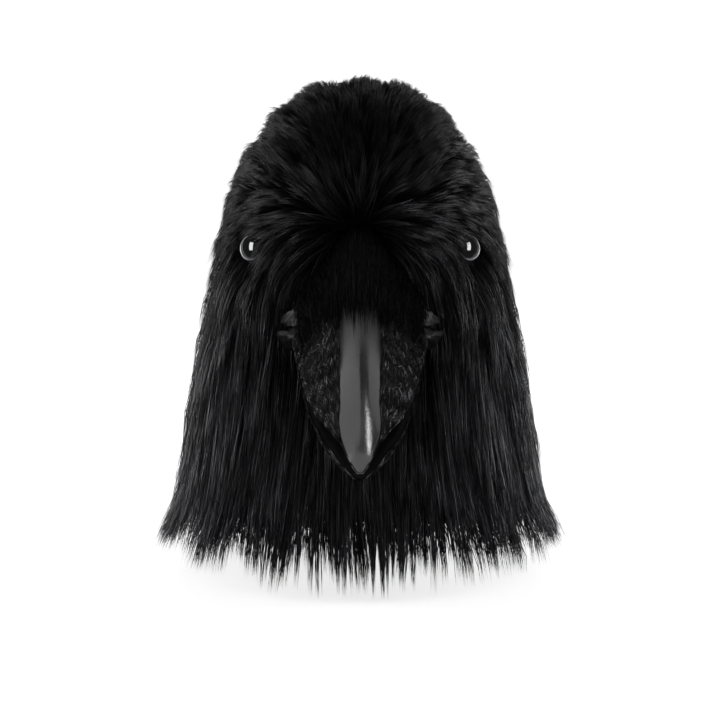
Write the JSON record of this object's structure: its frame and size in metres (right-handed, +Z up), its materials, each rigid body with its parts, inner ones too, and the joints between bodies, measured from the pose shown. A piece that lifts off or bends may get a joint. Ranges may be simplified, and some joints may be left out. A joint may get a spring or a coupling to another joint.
{
  "type": "raven costume mask",
  "caption": "Full-head raven costume mask with a hooked parted beak, domed black eyes, short pile on the crown and a long shaggy mane, open at the neck.",
  "frame": {"origin": "on the floor under the middle of the mask's bounding box", "axes": "+Z up, the beak points towards -Y, +X is the wearer's left"},
  "size_m": [0.3494, 0.4754, 0.4348],
  "materials": {
    "black_latex": "satin black moulded latex, smoother and greyer on the ridge of the beak",
    "black_pile": "glossy black faux-fur pile",
    "black_glass": "polished black dome with a pale rim"
  },
  "bodies": {
    "root": {"latex_head": "black_latex", "crown_fur": "black_pile", "mane_fur": "black_pile", "left_eye": "black_glass", "right_eye": "black_glass"}
  },
  "joints": []
}
